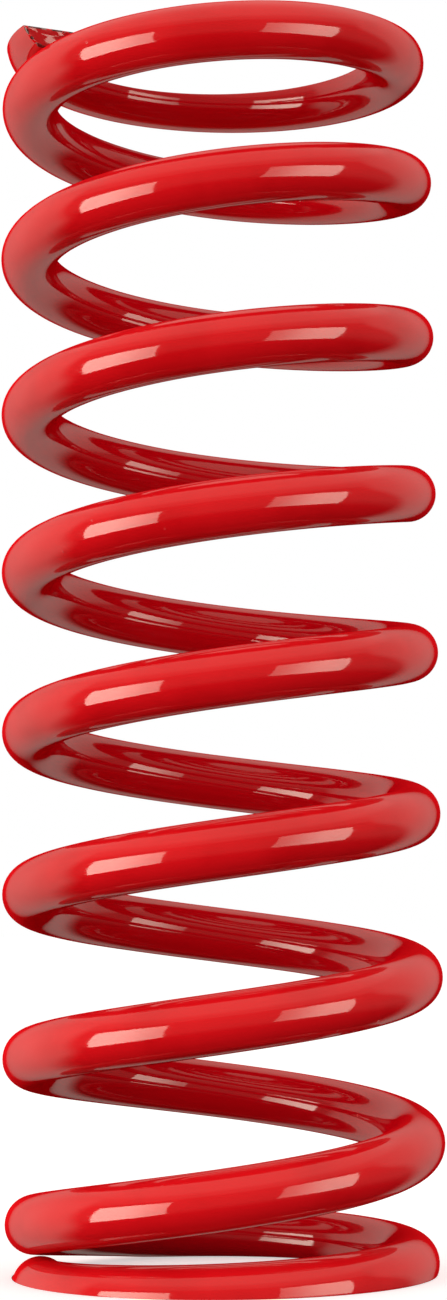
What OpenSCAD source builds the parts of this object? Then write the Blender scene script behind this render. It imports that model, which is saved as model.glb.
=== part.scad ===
// Coil-over suspension spring: one right-hand coil of round steel wire, powder coated,
// with closed and ground ends. Its origin is on the coil axis at the bottom seat, and +Z
// points to the top seat. The one wire is divided where it flexes: two end coils, which
// ride rigidly on their seats, and twelve half coils between them, numbered upwards.

/* [Spring] */
// Free length between the two ground seats
free_length = 260; // [255:1:290]
// Diameter of the coated wire
wire_d = 12; // [11.5:0.1:12.1]
// Turns of wire from tip to tip
turns = 9.08; // [9.04:0.02:9.1]
// Inner diameter of the bottom end coil
bottom_id = 64; // [60:1:70]
// Inner diameter of the top end coil
top_id = 66; // [60:1:70]
// Direction of the bottom wire tip, in degrees from +X towards +Y
tip_angle = 180; // [0:1:359]
// Turns of wire in each end coil
end_coil_turns = 1.42; // [1.4:0.01:1.5]

/* [Bottom end] */
// Height of the wire's centre over the seat at the tip, below zero when it is ground past it
bottom_tip_rise = -1.9; // [-2:0.1:-1.8]
// Pitch of the closed stretch behind the tip
bottom_closed_pitch = 8.6; // [8.6:0.1:9.4]
// Turns behind the tip where the pitch begins to open
bottom_open_from = 0.56; // [0.52:0.01:0.56]
// Turns over which the pitch opens to the full pitch
bottom_open_span = 0.62; // [0.56:0.01:0.62]
// How far the tip springs outwards
bottom_flare = 0; // [0:0.1:0.5]

/* [Top end] */
// Depth of the wire's centre under the seat at the tip, below zero when it is ground past it
top_tip_rise = -1.4; // [-1.5:0.1:-1.3]
// Pitch of the closed stretch before the tip
top_closed_pitch = 8.3; // [8.2:0.1:8.8]
// Turns before the tip where the pitch begins to open
top_open_from = 0.41; // [0.38:0.01:0.42]
// Turns over which the pitch opens to the full pitch
top_open_span = 0.92; // [0.86:0.01:0.92]
// How far the tip springs outwards
top_flare = 1; // [0:0.1:1.5]

/* [Active coils] */
// How much further out the active coils run than the end coils, in radius
body_swell = 1.7; // [0:0.1:2]
// Turns behind the tip where the coil begins to swell
swell_from = 0.2; // [0.2:0.05:0.4]
// Turns over which the coil swells
swell_span = 1.2; // [0.9:0.05:1.3]

/* [Hidden] */
NODES = [
    "bottom_end_coil",
    "active_coil_1a", "active_coil_1b", "active_coil_2a", "active_coil_2b",
    "active_coil_3a", "active_coil_3b", "active_coil_4a", "active_coil_4b",
    "active_coil_5a", "active_coil_5b", "active_coil_6a", "active_coil_6b",
    "top_end_coil"
];

// Coating colour
coat_red = [0.72, 0.05, 0.10];
// Sides of the wire's section, and sections in one turn
wire_sides = 14;
rings_per_turn = 40;
// Gap along the wire between two neighbouring stretches
cut_gap = 0.3;
// The slab that grinding leaves is cut out with a margin on each side
slab_w = 120;
// Turns over which a tip springs outwards
flare_span = 0.16;

wire_r = wire_d / 2;
half_coils = len(NODES) - 2;
half_coil_turns = (turns - 2 * end_coil_turns) / half_coils;
gap_turns = cut_gap / 2 / (PI * (bottom_id + wire_d));

// An even S-curve from 0 to 1, and the area under it
function s_curve(u) = let (v = max(0, min(1, u))) v * v * (3 - 2 * v);
function s_area(u) = u <= 0 ? 0 : u < 1 ? pow(u, 3) - pow(u, 4) / 2 : u - 1 / 2;

// Tip rise, closed pitch, start and span of the opening, and flare, of each end
BOTTOM = [bottom_tip_rise, bottom_closed_pitch, bottom_open_from, bottom_open_span, bottom_flare];
TOP = [top_tip_rise, top_closed_pitch, top_open_from, top_open_span, top_flare];

// Turns of full pitch between the tip of an end and a place "e" turns from that tip
function open_turns(e, end) = end[3] * s_area((e - end[2]) / end[3]);

// Full pitch, from what the free length leaves over the closed stretches
half = turns / 2;
function closed_height(end) = end[0] + end[1] * (half - open_turns(half, end));
full_pitch = (free_length - closed_height(BOTTOM) - closed_height(TOP))
    / (open_turns(half, BOTTOM) + open_turns(half, TOP));

// Height of the wire's centre over the seat of an end
function height(e, end) = end[0] + end[1] * (e - open_turns(e, end))
    + full_pitch * open_turns(e, end);

// How far the wire stands out near the tip of an end
function flare(e, end) = end[4] * pow(max(0, 1 - e / flare_span), 2);

// Height and coil radius of the wire's centre, t turns above the bottom tip
function centre_z(t) = t <= half ? height(t, BOTTOM) : free_length - height(turns - t, TOP);
function centre_r(t) = (bottom_id + (top_id - bottom_id) * t / turns) / 2 + wire_r
    + body_swell * s_curve((min(t, turns - t) - swell_from) / swell_span)
    + flare(t, BOTTOM) + flare(turns - t, TOP);

// The wire climbs, so its section on an upright plane is taller than it is wide
function end_pitch(e, end) = end[1] + (full_pitch - end[1]) * s_curve((e - end[2]) / end[3]);
function local_pitch(t) = t <= half ? end_pitch(t, BOTTOM) : end_pitch(turns - t, TOP);
function climb(t) = local_pitch(t) / (2 * PI * centre_r(t));

function wire_section(t) = let (
    a = tip_angle + 360 * t,
    tall = wire_r * sqrt(1 + pow(climb(t), 2))
) [
    for (k = [0 : wire_sides - 1])
        let (
            b = 360 * (k + 0.5) / wire_sides,
            out = centre_r(t) + wire_r * cos(b)
        )
        [out * cos(a), out * sin(a), centre_z(t) + tall * sin(b)]
];

// Round wire from turn t0 to turn t1, closed by flat faces on planes through the axis
module wire(t0, t1) {
    rings = ceil((t1 - t0) * rings_per_turn);
    last = rings * wire_sides;
    polyhedron(
        points = [
            for (i = [0 : rings]) each wire_section(t0 + (t1 - t0) * i / rings)
        ],
        faces = concat(
            [[for (k = [0 : wire_sides - 1]) k]],
            [[for (k = [wire_sides - 1 : -1 : 0]) last + k]],
            [
                for (i = [0 : rings - 1], k = [0 : wire_sides - 1])
                    let (
                        next = (k + 1) % wire_sides,
                        here = i * wire_sides,
                        on = here + wire_sides
                    )
                    each [
                        [here + k, on + k, on + next],
                        [here + k, on + next, here + next]
                    ]
            ]
        )
    );
}

// What grinding leaves: the space between the two seats
module between_seats() {
    translate([-slab_w / 2, -slab_w / 2, 0])
        cube([slab_w, slab_w, free_length]);
}

module bottom_end_coil() {
    color(coat_red)
        intersection() {
            wire(0, end_coil_turns - gap_turns);
            between_seats();
        }
}

module top_end_coil() {
    color(coat_red)
        intersection() {
            wire(turns - end_coil_turns + gap_turns, turns);
            between_seats();
        }
}

// Half coil number i, counted from 0 at the bottom
module active_half_coil(i) {
    start = end_coil_turns + i * half_coil_turns;
    color(coat_red)
        wire(start + gap_turns, start + half_coil_turns - gap_turns);
}

bottom_end_coil();
for (i = [0 : half_coils - 1])
    active_half_coil(i);
top_end_coil();
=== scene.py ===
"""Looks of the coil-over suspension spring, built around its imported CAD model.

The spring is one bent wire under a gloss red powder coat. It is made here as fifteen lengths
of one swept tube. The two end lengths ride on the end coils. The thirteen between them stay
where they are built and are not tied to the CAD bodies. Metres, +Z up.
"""
import math

import bpy
import numpy as np
from mathutils import Matrix, Vector


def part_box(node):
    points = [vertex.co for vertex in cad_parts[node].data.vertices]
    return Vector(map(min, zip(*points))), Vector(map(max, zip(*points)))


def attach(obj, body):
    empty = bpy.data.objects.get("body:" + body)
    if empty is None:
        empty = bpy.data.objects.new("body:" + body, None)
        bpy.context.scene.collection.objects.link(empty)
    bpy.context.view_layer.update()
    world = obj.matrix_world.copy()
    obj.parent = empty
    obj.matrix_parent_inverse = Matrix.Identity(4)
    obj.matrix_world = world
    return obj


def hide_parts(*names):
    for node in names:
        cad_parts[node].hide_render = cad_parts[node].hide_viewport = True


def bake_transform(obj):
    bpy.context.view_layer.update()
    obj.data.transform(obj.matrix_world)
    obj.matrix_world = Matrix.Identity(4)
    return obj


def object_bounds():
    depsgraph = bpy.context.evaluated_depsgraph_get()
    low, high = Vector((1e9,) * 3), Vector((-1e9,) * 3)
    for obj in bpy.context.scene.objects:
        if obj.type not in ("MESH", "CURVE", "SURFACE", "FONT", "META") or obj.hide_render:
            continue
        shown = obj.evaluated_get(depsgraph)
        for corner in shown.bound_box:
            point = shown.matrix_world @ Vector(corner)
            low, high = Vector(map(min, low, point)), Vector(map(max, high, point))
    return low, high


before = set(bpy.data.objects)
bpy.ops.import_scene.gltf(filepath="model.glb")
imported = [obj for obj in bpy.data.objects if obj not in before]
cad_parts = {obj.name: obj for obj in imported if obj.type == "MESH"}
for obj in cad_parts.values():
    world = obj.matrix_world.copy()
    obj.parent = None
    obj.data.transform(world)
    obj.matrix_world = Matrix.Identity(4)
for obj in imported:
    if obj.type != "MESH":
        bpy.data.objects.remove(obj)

CAD_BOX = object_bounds()

# ---------------------------------------------------------------- the spring's dimensions
FREE_LENGTH = CAD_BOX[1].z - CAD_BOX[0].z
WIRE_RADIUS = 0.012 / 2
TURNS = 9.08
HALF = TURNS / 2
BOTTOM_ID = 0.064
TOP_ID = 0.066
TIP_ANGLE = math.radians(180)
END_COIL_TURNS = 1.42


class End:
    """How one end of the wire is wound, counted in turns and metres from its tip and seat."""

    def __init__(self, tip_rise, closed_pitch, open_from, open_span, flare):
        self.tip_rise = tip_rise
        self.closed_pitch = closed_pitch
        self.open_from = open_from
        self.open_span = open_span
        self.flare = flare


BOTTOM = End(-0.0019, 0.0086, 0.56, 0.62, 0.0)
TOP = End(-0.0014, 0.0083, 0.41, 0.92, 0.001)
FLARE_SPAN = 0.16
BODY_SWELL = 0.0017
SWELL_FROM = 0.2
SWELL_SPAN = 1.2

# ---------------------------------------------------------------- the mesh's fineness
SIDES = 48
RINGS_PER_TURN = 176
FLAT_STEPS = 5
CORNER_STEPS = 4
ROUND_STEPS = SIDES // 2 - FLAT_STEPS - CORNER_STEPS
LEAST_FLAT = math.radians(14)
SEAT_CORNER = 0.00035
LIFT_FADE = 0.002
TIP_BEVEL = 0.0004
BEVEL_RINGS = 5

# ---------------------------------------------------------------- the finish of the tips and seats
# Rings of a cut face, as shares of its outline, and its waves in radians to the metre
CAP_SHARES = (0.97, 0.93, 0.88, 0.8, 0.65, 0.45, 0.25)
CAP_WAVES = 900
CAP_WAVE_DEPTH = 0.00012
CAP_WEAR = 0.06
EDGE_WEAR_TURNS = 0.0025
SEAT_FILM = 0.0002
# Where the painted shade inside the coil fades in, in wire radii from the wire's centre towards the
# axis
INWARD_FROM = -0.1
INWARD_SPAN = 0.9

# ---------------------------------------------------------------- the CAD bodies, from the bottom up
NODES = sorted(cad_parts, key=lambda name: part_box(name)[0].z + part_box(name)[1].z)
FLEX_PIECES = len(NODES) - 1
FLEX_TURNS = (TURNS - 2 * END_COIL_TURNS) / (len(NODES) - 2)
FLEX_START = END_COIL_TURNS - FLEX_TURNS / 2


# ---------------------------------------------------------------- the wire's centre line
def s_curve(u):
    """0 up to u = 0, 1 from u = 1, and a smooth S between them."""
    v = np.clip(u, 0, 1)
    return v * v * (3 - 2 * v)


def s_area(u):
    """The area under s_curve from 0 to u."""
    v = np.clip(u, 0, 1)
    return v**3 - v**4 / 2 + np.maximum(u - 1, 0)


def open_turns(e, end):
    """How many turns of full pitch lie between the tip and e turns from it."""
    return end.open_span * s_area((e - end.open_from) / end.open_span)


def closed_height(end):
    """Height that half of the wire would climb without its turns of full pitch."""
    return end.tip_rise + end.closed_pitch * (HALF - open_turns(HALF, end))


FULL_PITCH = (FREE_LENGTH - closed_height(BOTTOM) - closed_height(TOP)) / (
    open_turns(HALF, BOTTOM) + open_turns(HALF, TOP)
)


def nearer_end(t):
    """The end nearer to t turns above the bottom tip, and how many turns away its tip is."""
    return (BOTTOM, t) if t <= HALF else (TOP, TURNS - t)


def from_seat(t):
    """Height of the wire's centre above the nearer seat, at t turns."""
    end, e = nearer_end(t)
    opened = float(open_turns(e, end))
    return end.tip_rise + end.closed_pitch * (e - opened) + FULL_PITCH * opened


def centre_radius(t):
    """Distance of the wire's centre from the coil axis."""
    end, e = nearer_end(t)
    seat_radius = (BOTTOM_ID + (TOP_ID - BOTTOM_ID) * t / TURNS) / 2 + WIRE_RADIUS
    swell = BODY_SWELL * float(s_curve((e - SWELL_FROM) / SWELL_SPAN))
    return seat_radius + swell + end.flare * max(0.0, 1 - e / FLARE_SPAN) ** 2


def climb(t):
    """Slope of the wire's centre line."""
    end, e = nearer_end(t)
    opening = float(s_curve((e - end.open_from) / end.open_span))
    pitch = end.closed_pitch + (FULL_PITCH - end.closed_pitch) * opening
    return pitch / (2 * math.pi * centre_radius(t))


# ---------------------------------------------------------------- the wire's section
def half_outline(lift, edge):
    """Angles from the seat side to the far side of a section.

    They are even on a free section. Near the seat they crowd round the corner of the ground
    face, which lies edge radians from the seat side.
    """
    edge = max(edge, LEAST_FLAT)
    reach = min(SEAT_CORNER / (WIRE_RADIUS * math.sin(edge)), edge / 2)
    crowded = np.concatenate([
        np.linspace(0, edge - reach, FLAT_STEPS + 1)[:-1],
        np.linspace(edge - reach, edge + reach, CORNER_STEPS + 1)[:-1],
        np.linspace(edge + reach, math.pi, ROUND_STEPS + 1),
    ])
    even = np.linspace(0, math.pi, SIDES // 2 + 1)
    free = s_curve(lift / LIFT_FADE)
    return crowded + (even - crowded) * free


def ground(depth):
    """Height above the seat plane once the wire is ground, with a softly rounded corner."""
    corner = (depth + SEAT_CORNER) ** 2 / (4 * SEAT_CORNER)
    return np.where(depth > SEAT_CORNER, depth, np.where(depth < -SEAT_CORNER, 0, corner))


def ring(t, inset=0.0):
    """The section's outline at t turns, inset metres inside the wire's surface.

    It lies on the upright plane through the coil axis there.
    """
    angle = TIP_ANGLE + 2 * math.pi * t
    upright = (WIRE_RADIUS - inset) * math.sqrt(1 + climb(t) ** 2)
    height = from_seat(t) - inset
    edge = math.acos(max(-1.0, min(1.0, height / upright)))
    half = half_outline(height - upright, edge)
    around = np.concatenate([half, 2 * math.pi - half[-2:0:-1]])
    radial = (WIRE_RADIUS - inset) * np.sin(around)
    above = ground(height - upright * np.cos(around)) + inset
    if t > HALF:
        radial = -np.roll(radial, SIDES // 2)
        above = FREE_LENGTH - np.roll(above, SIDES // 2)
    reach = centre_radius(t) + radial
    return np.stack([reach * math.cos(angle), reach * math.sin(angle), above], axis=1)


def spaced(start, end):
    """Evenly spaced turns from start to end."""
    return np.linspace(start, end, round((end - start) * RINGS_PER_TURN) + 1)


# ---------------------------------------------------------------- the wire's meshes
def whole_wire():
    """(turns, points) of every ring from the bottom tip to the top tip, with rounded tip edges."""
    edge = TIP_BEVEL / (2 * math.pi * centre_radius(0))
    turns, insets = [], []
    for k in range(BEVEL_RINGS):
        a = math.pi / 2 * k / BEVEL_RINGS
        turns.append(edge * (1 - math.cos(a)))
        insets.append(TIP_BEVEL * (1 - math.sin(a)))
    marks = [edge, FLEX_START]
    marks += [FLEX_START + FLEX_TURNS * (k + 1) for k in range(FLEX_PIECES)]
    marks += [TURNS - edge]
    for start, end in zip(marks, marks[1:]):
        steps = spaced(start, end)[:-1]
        turns += list(steps)
        insets += [0.0] * len(steps)
    turns.append(marks[-1])
    insets.append(0.0)
    for k in reversed(range(BEVEL_RINGS)):
        turns.append(TURNS - turns[k])
        insets.append(insets[k])
    points = np.array([ring(t, inset) for t, inset in zip(turns, insets)])
    return np.array(turns), points


def grid_normals(points):
    """Outward unit normals of the swept grid."""
    along = np.gradient(points, axis=0)
    around = np.roll(points, -1, axis=1) - np.roll(points, 1, axis=1)
    normals = np.cross(along, around)
    return normals / np.linalg.norm(normals, axis=2, keepdims=True)


def flat_cap(outline, outward):
    """A flat end across the wire, with no new points: (added points, faces, their wear)."""
    face = list(range(SIDES))
    return np.zeros((0, 3)), [face[::-1] if outward else face], np.zeros(0)


def cut_cap(outline, outward):
    """A cropped and slightly wavy wire tip, in closing rings round its middle.

    It gives the same three things as flat_cap.
    """
    middle = outline.mean(axis=0)
    across = np.cross(outline[SIDES // 4] - middle, outline[0] - middle)
    across /= np.linalg.norm(across)
    points, wear, faces = [], [], []
    for share in CAP_SHARES:
        flat = middle + (outline - middle) * share
        wave = np.sin(flat[:, 2] * CAP_WAVES + 1) * np.cos(flat[:, 0] * CAP_WAVES)
        points.append(flat + across * (CAP_WAVE_DEPTH * (1 - share**4) * wave)[:, None])
        wear.append(np.full(SIDES, max(0.0, 1 - (1 - share) / CAP_WEAR)))
    points.append(points[-1].mean(axis=0, keepdims=True))
    wear.append(np.zeros(1))
    for k in range(len(CAP_SHARES)):
        for i in range(SIDES):
            right = (i + 1) % SIDES
            here, inner = k * SIDES, (k + 1) * SIDES
            faces.append([here + i, here + right, inner + right, inner + i])
    last = len(CAP_SHARES) * SIDES
    faces += [[last + i, last + (i + 1) % SIDES, last + SIDES] for i in range(SIDES)]
    if outward:
        faces = [face[::-1] for face in faces]
    return np.concatenate(points), faces, np.concatenate(wear)


TURN_OF_RING, WIRE = whole_wire()
NORMALS = grid_normals(WIRE)


def cap_normals(points, faces):
    """A smooth normal at each point of a cap."""
    normals = np.zeros_like(points)
    for face in faces:
        corners = points[face]
        across = np.cross(corners[1] - corners[0], corners[2] - corners[0])
        normals[face] += across
    lengths = np.linalg.norm(normals, axis=1, keepdims=True)
    return normals / np.maximum(lengths, 1e-12)


def inward_share(first, last):
    """1 where the wire faces the coil axis, and 0 where it faces away from it. It places the painted
    shade inside the coil.
    """
    rows = WIRE[first : last + 1]
    distance = np.linalg.norm(rows[:, :, :2], axis=2)
    centre = np.array([centre_radius(t) for t in TURN_OF_RING[first : last + 1]])
    return s_curve(((centre[:, None] - distance) / WIRE_RADIUS - INWARD_FROM) / INWARD_SPAN).ravel()


def tube_mesh(name, first, last):
    """A closed length of the wire between two rings, and the turn of each of its points."""
    rows = WIRE[first : last + 1]
    count = len(rows)
    j, i = np.meshgrid(np.arange(count - 1), np.arange(SIDES), indexing="ij")
    right = (i + 1) % SIDES
    here, on = j * SIDES, (j + 1) * SIDES
    quads = np.stack([here + i, on + i, on + right, here + right], axis=2)
    faces = quads.reshape(-1, 4).tolist()
    points = rows.reshape(-1, 3)
    corner_normals = [NORMALS[first : last + 1].reshape(-1, 3)[np.array(faces).ravel()]]
    from_tip = np.minimum(TURN_OF_RING, TURNS - TURN_OF_RING)[first : last + 1]
    wear = np.repeat(np.clip(1 - from_tip / EDGE_WEAR_TURNS, 0, 1), SIDES)

    ends = ((0, first == 0, False), ((count - 1) * SIDES, last == len(WIRE) - 1, True))
    for base, at_tip, outward in ends:
        outline = points[base : base + SIDES]
        make_cap = cut_cap if at_tip else flat_cap
        added, cap_faces, cap_wear = make_cap(outline, outward)
        local = np.concatenate([outline, added])
        smooth = cap_normals(local, cap_faces)
        corner_normals.append(smooth[[corner for face in cap_faces for corner in face]])
        number = np.concatenate([np.arange(SIDES) + base, np.arange(len(added)) + len(points)])
        faces += [[int(number[corner]) for corner in face] for face in cap_faces]
        points = np.concatenate([points, added])
        wear = np.concatenate([wear, cap_wear])

    mesh = bpy.data.meshes.new(name)
    mesh.from_pydata(points.tolist(), [], faces)
    mesh.polygons.foreach_set("use_smooth", [True] * len(faces))
    mesh.normals_split_custom_set(np.concatenate(corner_normals).tolist())
    on_caps = len(points) - count * SIDES
    # Mask of the painted shade inside the coil; the caps take it in full.
    inner_shade = np.concatenate([inward_share(first, last), np.ones(on_caps)])
    seat_gap = np.minimum(points[:, 2], FREE_LENGTH - points[:, 2])
    on_seat = 1 - s_curve(seat_gap / SEAT_FILM)
    for label, values in (("tip_wear", wear), ("inner_shade", inner_shade), ("ground", on_seat)):
        attribute = mesh.attributes.new(label, "FLOAT", "POINT")
        attribute.data.foreach_set("value", values.astype(np.float32))
    turns = np.repeat(TURN_OF_RING[first : last + 1], SIDES)
    return mesh, np.concatenate([turns, np.zeros(on_caps)])


def ring_at(t):
    """Number of the ring nearest t turns."""
    return int(np.argmin(np.abs(TURN_OF_RING - t)))


def make_piece(name, start, end, material):
    """The wire from start to end turns, as an object, with the turn of each of its points."""
    first, last = ring_at(start), ring_at(end)
    mesh, turns = tube_mesh(name, first, last)
    mesh.materials.append(material)
    piece = bpy.data.objects.new(name, mesh)
    bpy.context.scene.collection.objects.link(piece)
    return piece, turns


def make_wire(material):
    """All fifteen lengths of the wire. The two end lengths are on the end CAD bodies; the others are
    on none.
    """
    bottom, _ = make_piece("wire_bottom_end", 0, FLEX_START, material)
    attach(bottom, NODES[0])
    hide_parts(NODES[0])
    for k in range(FLEX_PIECES):
        start = FLEX_START + k * FLEX_TURNS
        end = start + FLEX_TURNS
        piece, turns = make_piece(f"wire_flex_{k + 1:02d}", start, end, material)
        low, high = NODES[k], NODES[k + 1]
        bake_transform(piece)
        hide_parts(low, high)
    top, _ = make_piece("wire_top_end", TURNS - FLEX_START, TURNS, material)
    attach(top, NODES[-1])
    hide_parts(NODES[-1])


# ---------------------------------------------------------------- helpers for shader nodes
def add(nodes, kind, **values):
    """A shader node of that kind, with its settings given by name."""
    node = nodes.new("ShaderNode" + kind)
    for name, value in values.items():
        setattr(node, name, value)
    return node


def noise(nodes, links, place, scale, detail=2.0, roughness=0.5):
    """A noise pattern in the object's own space, scale features to the metre."""
    node = add(nodes, "TexNoise")
    node.inputs["Scale"].default_value = scale
    node.inputs["Detail"].default_value = detail
    node.inputs["Roughness"].default_value = roughness
    links.new(place, node.inputs["Vector"])
    return node.outputs["Fac"]


def remap(nodes, links, value, low, high, to_low=0.0, to_high=1.0):
    """A smooth step from to_low to to_high as value goes from low to high."""
    node = add(nodes, "MapRange", interpolation_type="SMOOTHSTEP")
    node.inputs["From Min"].default_value = low
    node.inputs["From Max"].default_value = high
    node.inputs["To Min"].default_value = to_low
    node.inputs["To Max"].default_value = to_high
    links.new(value, node.inputs["Value"])
    return node.outputs["Result"]


def combine(nodes, links, operation, first, second):
    """The result of a maths operation on two sockets."""
    node = add(nodes, "Math", operation=operation)
    links.new(first, node.inputs[0])
    links.new(second, node.inputs[1])
    return node.outputs[0]


def blend_colours(nodes, links, share, low, high):
    """The colour low where share is 0, and high where it is 1. Each is a colour or a socket."""
    node = add(nodes, "Mix", data_type="RGBA")
    links.new(share, node.inputs["Factor"])
    for name, colour in (("A", low), ("B", high)):
        socket = next(i for i in node.inputs if i.name == name and i.type == "RGBA")
        if isinstance(colour, tuple):
            socket.default_value = colour
        else:
            links.new(colour, socket)
    return next(o for o in node.outputs if o.type == "RGBA")


def bump(nodes, links, height, depth, below=None):
    """Bumps as deep as depth metres where height is 1, over the bumps of below."""
    node = add(nodes, "Bump")
    node.inputs["Strength"].default_value = 1.0
    node.inputs["Distance"].default_value = depth
    links.new(height, node.inputs["Height"])
    if below is not None:
        links.new(below, node.inputs["Normal"])
    return node.outputs["Normal"]


# ---------------------------------------------------------------- the powder coat
COAT_RED = (0.76, 0.0060, 0.0110, 1)
THIN_COAT_RED = (0.68, 0.0040, 0.0080, 1)
# Painted shade on the side of the wire that faces the coil axis
INNER_PAINTED_SHADE_RED = (0.54, 0.0008, 0.0060, 1)
NIB_RED = (0.76, 0.030, 0.035, 1)
PRIMER_GREY = (0.30, 0.20, 0.19, 1)
BARE_EDGE = (0.10, 0.010, 0.010, 1)
HIGHLIGHT_TINT = (1.0, 0.98, 0.93, 1)

# Features to the metre of each pattern, and depths of the relief in metres
THICKNESS_SCALE = 55
NIB_SCALE = 160
CHIP_SCALE = 900
PRIMER_SCALE = 330
GLOSS_SCALE = 900
PEEL_SCALE = 420
GRINDING_SCALE = (70, 1800, 70)
PEEL_DEPTH = 0.000006
NIB_DEPTH = 0.00004
CHIP_DEPTH = 0.00005
GRINDING_DEPTH = 0.00003

# The two values of its pattern between which each feature comes or goes
THICK_COAT = (0.30, 0.55)
NIB_RIM = (0.03, 0.06)
NIB_CHOICE = (0.80, 0.82)
FLAKES = (0.30, 0.70)
CHIPPED = (0.20, 0.32)
PRIMER = (0.56, 0.60)
DULLER = (0.3, 0.7)

ROUGHNESS = (0.045, 0.085)
COAT_IOR = 1.5
FULL_GLOSS = 0.5
EDGE_GLOSS = 0.0
GLOSS_FADE = (0.50, 0.82)


def dust_nibs(nodes, links, place):
    """1 on the few specks of dust caught in the coat, and 0 around them."""
    speck = add(nodes, "TexVoronoi")
    speck.inputs["Scale"].default_value = NIB_SCALE
    links.new(place, speck.inputs["Vector"])
    near = remap(nodes, links, speck.outputs["Distance"], *NIB_RIM, 1, 0)
    chosen = remap(nodes, links, speck.outputs["Color"], *NIB_CHOICE)
    return combine(nodes, links, "MULTIPLY", near, chosen)


def tip_chips(nodes, links, place):
    """1 where the coat is chipped off the edges of the wire tips, and 0 elsewhere."""
    rim = add(nodes, "Attribute", attribute_name="tip_wear").outputs["Fac"]
    flakes = remap(nodes, links, noise(nodes, links, place, CHIP_SCALE, detail=3), *FLAKES)
    return remap(nodes, links, combine(nodes, links, "MULTIPLY", rim, flakes), *CHIPPED)


def coat_colour(nodes, links, place, nibs, chips):
    """Red of uneven thickness, with nibs and chips in it, and darker inside the coil as painted
    shade.
    """
    thickness = noise(nodes, links, place, THICKNESS_SCALE, detail=3)
    thick = remap(nodes, links, thickness, *THICK_COAT)
    red = blend_colours(nodes, links, thick, THIN_COAT_RED, COAT_RED)
    inner_shade = add(nodes, "Attribute", attribute_name="inner_shade").outputs["Fac"]
    # Painted shade: the red is darker where the wire faces the coil axis.
    red = blend_colours(nodes, links, inner_shade, red, INNER_PAINTED_SHADE_RED)
    red = blend_colours(nodes, links, nibs, red, NIB_RED)
    primer = remap(nodes, links, noise(nodes, links, place, PRIMER_SCALE), *PRIMER)
    chip = blend_colours(nodes, links, primer, BARE_EDGE, PRIMER_GREY)
    return blend_colours(nodes, links, chips, red, chip)


def coat_gloss(nodes, links, place, shader):
    """A slightly uneven gloss. It fades out at grazing angles, so that the rims stay red."""
    duller = noise(nodes, links, place, GLOSS_SCALE, detail=2)
    links.new(remap(nodes, links, duller, *DULLER, *ROUGHNESS), shader.inputs["Roughness"])
    shader.inputs["IOR"].default_value = COAT_IOR
    slant = add(nodes, "LayerWeight")
    slant.inputs["Blend"].default_value = 0.5
    sheen = remap(nodes, links, slant.outputs["Facing"], *GLOSS_FADE, FULL_GLOSS, EDGE_GLOSS)
    links.new(sheen, shader.inputs["Specular IOR Level"])
    shader.inputs["Specular Tint"].default_value = HIGHLIGHT_TINT


def coat_relief(nodes, links, place, nibs, chips):
    """Orange peel, raised nibs, sunken chips, and fine grinding lines on the seats."""
    peel = noise(nodes, links, place, PEEL_SCALE, detail=1)
    surface = bump(nodes, links, peel, PEEL_DEPTH)
    surface = bump(nodes, links, nibs, NIB_DEPTH, surface)
    surface = bump(nodes, links, chips, -CHIP_DEPTH, surface)
    stretch = add(nodes, "Mapping", vector_type="POINT")
    stretch.inputs["Scale"].default_value = GRINDING_SCALE
    links.new(place, stretch.inputs["Vector"])
    lines = noise(nodes, links, stretch.outputs["Vector"], 1, detail=3)
    seats = add(nodes, "Attribute", attribute_name="ground").outputs["Fac"]
    lines = combine(nodes, links, "MULTIPLY", lines, seats)
    return bump(nodes, links, lines, GRINDING_DEPTH, surface)


def powder_coat():
    """Gloss red powder coat: orange peel, changes of thickness, and a few nibs of dust.

    Inside the coil the red is darker: painted shade for the light that the coils keep off the wire
    there.
    """
    material = bpy.data.materials.new("powder_coat_red")
    material.use_nodes = True
    nodes, links = material.node_tree.nodes, material.node_tree.links
    shader = nodes["Principled BSDF"]
    place = add(nodes, "TexCoord").outputs["Object"]
    nibs = dust_nibs(nodes, links, place)
    chips = tip_chips(nodes, links, place)
    links.new(coat_colour(nodes, links, place, nibs, chips), shader.inputs["Base Color"])
    coat_gloss(nodes, links, place, shader)
    links.new(coat_relief(nodes, links, place, nibs, chips), shader.inputs["Normal"])
    return material


# ---------------------------------------------------------------- the studio
WALL_LIGHT = 0.75
LEFT_WALL_LIGHT = 1.10
CEILING_EDGE_LIGHT = 0.55
CEILING_LIGHT = 0.95
WARM_WHITE = (1.0, 0.95, 0.85, 1)
FRONT_LIGHT = 0.25
FLOOR_DARK = 0.01

# Where each part of the world's light fades in or out, in the direction's x, y or z
LEFT_WALL = (-1.0, -0.6)
BEHIND = (-0.25, 0.05)
CEILING_EDGE = (0.30, 0.50)
CEILING = (0.55, 0.75)
FRONT = (-0.50, -0.15)

# The walls' light is full above the plane with this normal, and fades out below it
FLOOR_EDGE = (-0.4, 0.8, 1.0)
FLOOR_FADE = (-0.40, 0.0)

MIDDLE = Vector((0, 0, 0.13))
SOFTBOX_DISTANCE = 1.6

CAMERA_PLACE = (0, -0.646, 0.07034)
CAMERA_TILT = math.radians(8.044)
CAMERA_ROLL = math.radians(-0.462)
CAMERA_SENSOR = 36
CAMERA_LENS = 84.52
CAMERA_SHIFT = (0.0037, -0.1161)

FLOOR_HALF_SIDE = 40
FLOOR_DROP = 0.00005
FLOOR_WHITE = (0.75, 0.77, 0.82, 1)
FLOOR_GLOW = 0.5


def rectangle(name, half_width, half_height):
    """A level rectangle round the origin, as an object in the scene."""
    w, h = half_width, half_height
    mesh = bpy.data.meshes.new(name)
    mesh.from_pydata([(-w, -h, 0), (w, -h, 0), (w, h, 0), (-w, h, 0)], [], [(0, 1, 2, 3)])
    piece = bpy.data.objects.new(name, mesh)
    bpy.context.scene.collection.objects.link(piece)
    return piece


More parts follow.
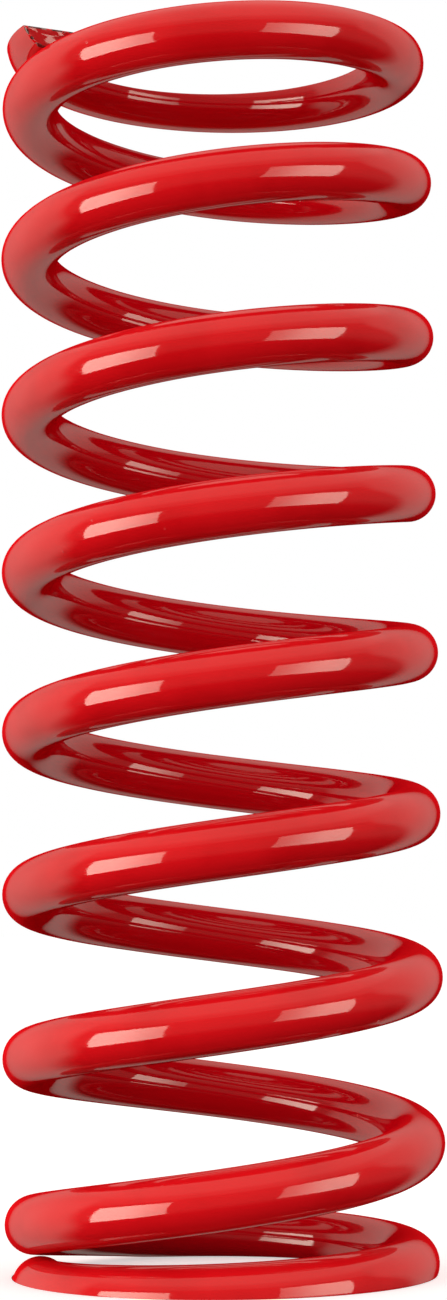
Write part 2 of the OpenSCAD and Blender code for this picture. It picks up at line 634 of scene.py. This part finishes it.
def polar(azimuth, elevation, distance):
    """A point that far from the spring's middle, at that azimuth from the camera's side.

    It lies to the right when the azimuth is positive.
    """
    a, e = math.radians(azimuth), math.radians(elevation)
    flat = distance * math.cos(e)
    return MIDDLE + Vector((flat * math.sin(a), -flat * math.cos(a), distance * math.sin(e)))


def softbox(name, azimuth, elevation, half_width, half_height, strength, faint):
    """A rectangular light that faces the spring. Its half sizes are angles seen from there.

    It has its full strength over its outer third, and fades to faint times that at the edge
    nearer the camera.
    """
    half_w = SOFTBOX_DISTANCE * math.tan(math.radians(half_width))
    half_h = SOFTBOX_DISTANCE * math.tan(math.radians(half_height))
    panel = rectangle(name, half_w, half_h)
    place = polar(azimuth, elevation, SOFTBOX_DISTANCE)
    panel.location = place
    panel.rotation_euler = (MIDDLE - place).to_track_quat("Z", "Y").to_euler()
    material = bpy.data.materials.new(name)
    material.use_nodes = True
    nodes, links = material.node_tree.nodes, material.node_tree.links
    nodes.clear()
    across = add(nodes, "SeparateXYZ")
    links.new(add(nodes, "TexCoord").outputs["Object"], across.inputs[0])
    inner = half_w if azimuth > 0 else -half_w
    glow = add(nodes, "Emission")
    glow.inputs["Color"].default_value = WARM_WHITE
    fade = remap(nodes, links, across.outputs["X"], inner, -inner / 3, faint * strength, strength)
    links.new(fade, glow.inputs["Strength"])
    out = add(nodes, "OutputMaterial")
    links.new(glow.outputs[0], out.inputs["Surface"])
    panel.data.materials.append(material)
    panel.visible_camera = False


def make_lights():
    """Two soft boxes in front of the spring, the left one brighter."""
    softbox(
        "softbox_left", azimuth=-50.5, elevation=-5,
        half_width=21, half_height=19.5, strength=9.2, faint=0.6,
    )
    softbox(
        "softbox_right", azimuth=49, elevation=-2,
        half_width=21, half_height=18, strength=6.0, faint=0.4,
    )


def make_camera():
    """A long lens just above the floor, looking slightly up."""
    forward = Vector((0, math.cos(CAMERA_TILT), math.sin(CAMERA_TILT)))
    level_up = Vector((0, -math.sin(CAMERA_TILT), math.cos(CAMERA_TILT)))
    level_right = Vector((1, 0, 0))
    right = level_right * math.cos(CAMERA_ROLL) + level_up * math.sin(CAMERA_ROLL)
    up = -level_right * math.sin(CAMERA_ROLL) + level_up * math.cos(CAMERA_ROLL)
    data = bpy.data.cameras.new("camera")
    data.sensor_fit = "AUTO"
    data.sensor_width = CAMERA_SENSOR
    data.lens = CAMERA_LENS
    data.shift_x, data.shift_y = CAMERA_SHIFT
    camera = bpy.data.objects.new("camera", data)
    bpy.context.scene.collection.objects.link(camera)
    turn = Matrix((right, up, -forward)).transposed()
    camera.matrix_world = Matrix.Translation(CAMERA_PLACE) @ turn.to_4x4()
    bpy.context.scene.camera = camera


def make_floor():
    """A plain white floor under the spring. It takes shadows, but doesn't light the spring."""
    floor = rectangle("floor", FLOOR_HALF_SIDE, FLOOR_HALF_SIDE)
    floor.location.z = -FLOOR_DROP
    material = bpy.data.materials.new("floor")
    material.use_nodes = True
    shader = material.node_tree.nodes["Principled BSDF"]
    shader.inputs["Base Color"].default_value = FLOOR_WHITE
    shader.inputs["Roughness"].default_value = 1
    shader.inputs["Specular IOR Level"].default_value = 0
    shader.inputs["Emission Color"].default_value = (1, 1, 1, 1)
    shader.inputs["Emission Strength"].default_value = FLOOR_GLOW
    floor.data.materials.append(material)
    floor.visible_glossy = False
    floor.visible_diffuse = False


def make_world():
    """White walls behind and beside the spring, brightest at the left, and a white ceiling.

    The front is dim, and there is next to no light from below. The camera sees plain white.
    """
    world = bpy.data.worlds.new("studio")
    bpy.context.scene.world = world
    world.use_nodes = True
    nodes, links = world.node_tree.nodes, world.node_tree.links
    nodes.clear()
    direction = add(nodes, "SeparateXYZ")
    place = add(nodes, "TexCoord").outputs["Generated"]
    links.new(place, direction.inputs[0])
    x, y, z = direction.outputs

    wall = remap(nodes, links, x, *LEFT_WALL, LEFT_WALL_LIGHT, WALL_LIGHT)
    behind = remap(nodes, links, y, *BEHIND)
    facing = add(nodes, "VectorMath", operation="DOT_PRODUCT")
    links.new(place, facing.inputs[0])
    facing.inputs[1].default_value = FLOOR_EDGE
    above_floor = remap(nodes, links, facing.outputs["Value"], *FLOOR_FADE)
    lit = combine(nodes, links, "MULTIPLY", behind, above_floor)
    walls = combine(nodes, links, "MULTIPLY", wall, lit)

    ceiling_edge = remap(nodes, links, z, *CEILING_EDGE, 0, CEILING_EDGE_LIGHT)
    ceiling_rest = remap(nodes, links, z, *CEILING, 0, CEILING_LIGHT - CEILING_EDGE_LIGHT)
    ceiling = combine(nodes, links, "ADD", ceiling_edge, ceiling_rest)
    front = remap(nodes, links, z, *FRONT, FLOOR_DARK, FRONT_LIGHT)
    brightest = combine(nodes, links, "MAXIMUM", walls, ceiling)
    brightest = combine(nodes, links, "MAXIMUM", brightest, front)

    light = add(nodes, "Background")
    light.inputs["Color"].default_value = WARM_WHITE
    links.new(brightest, light.inputs["Strength"])
    seen = add(nodes, "Background")
    seen.inputs["Color"].default_value = (1, 1, 1, 1)
    path = add(nodes, "LightPath")
    mix = add(nodes, "MixShader")
    out = add(nodes, "OutputWorld")
    links.new(path.outputs["Is Camera Ray"], mix.inputs[0])
    links.new(light.outputs[0], mix.inputs[1])
    links.new(seen.outputs[0], mix.inputs[2])
    links.new(mix.outputs[0], out.inputs["Surface"])


make_camera()
make_floor()
make_world()
make_lights()
make_wire(powder_coat())
bpy.context.scene.view_settings.view_transform = "Standard"
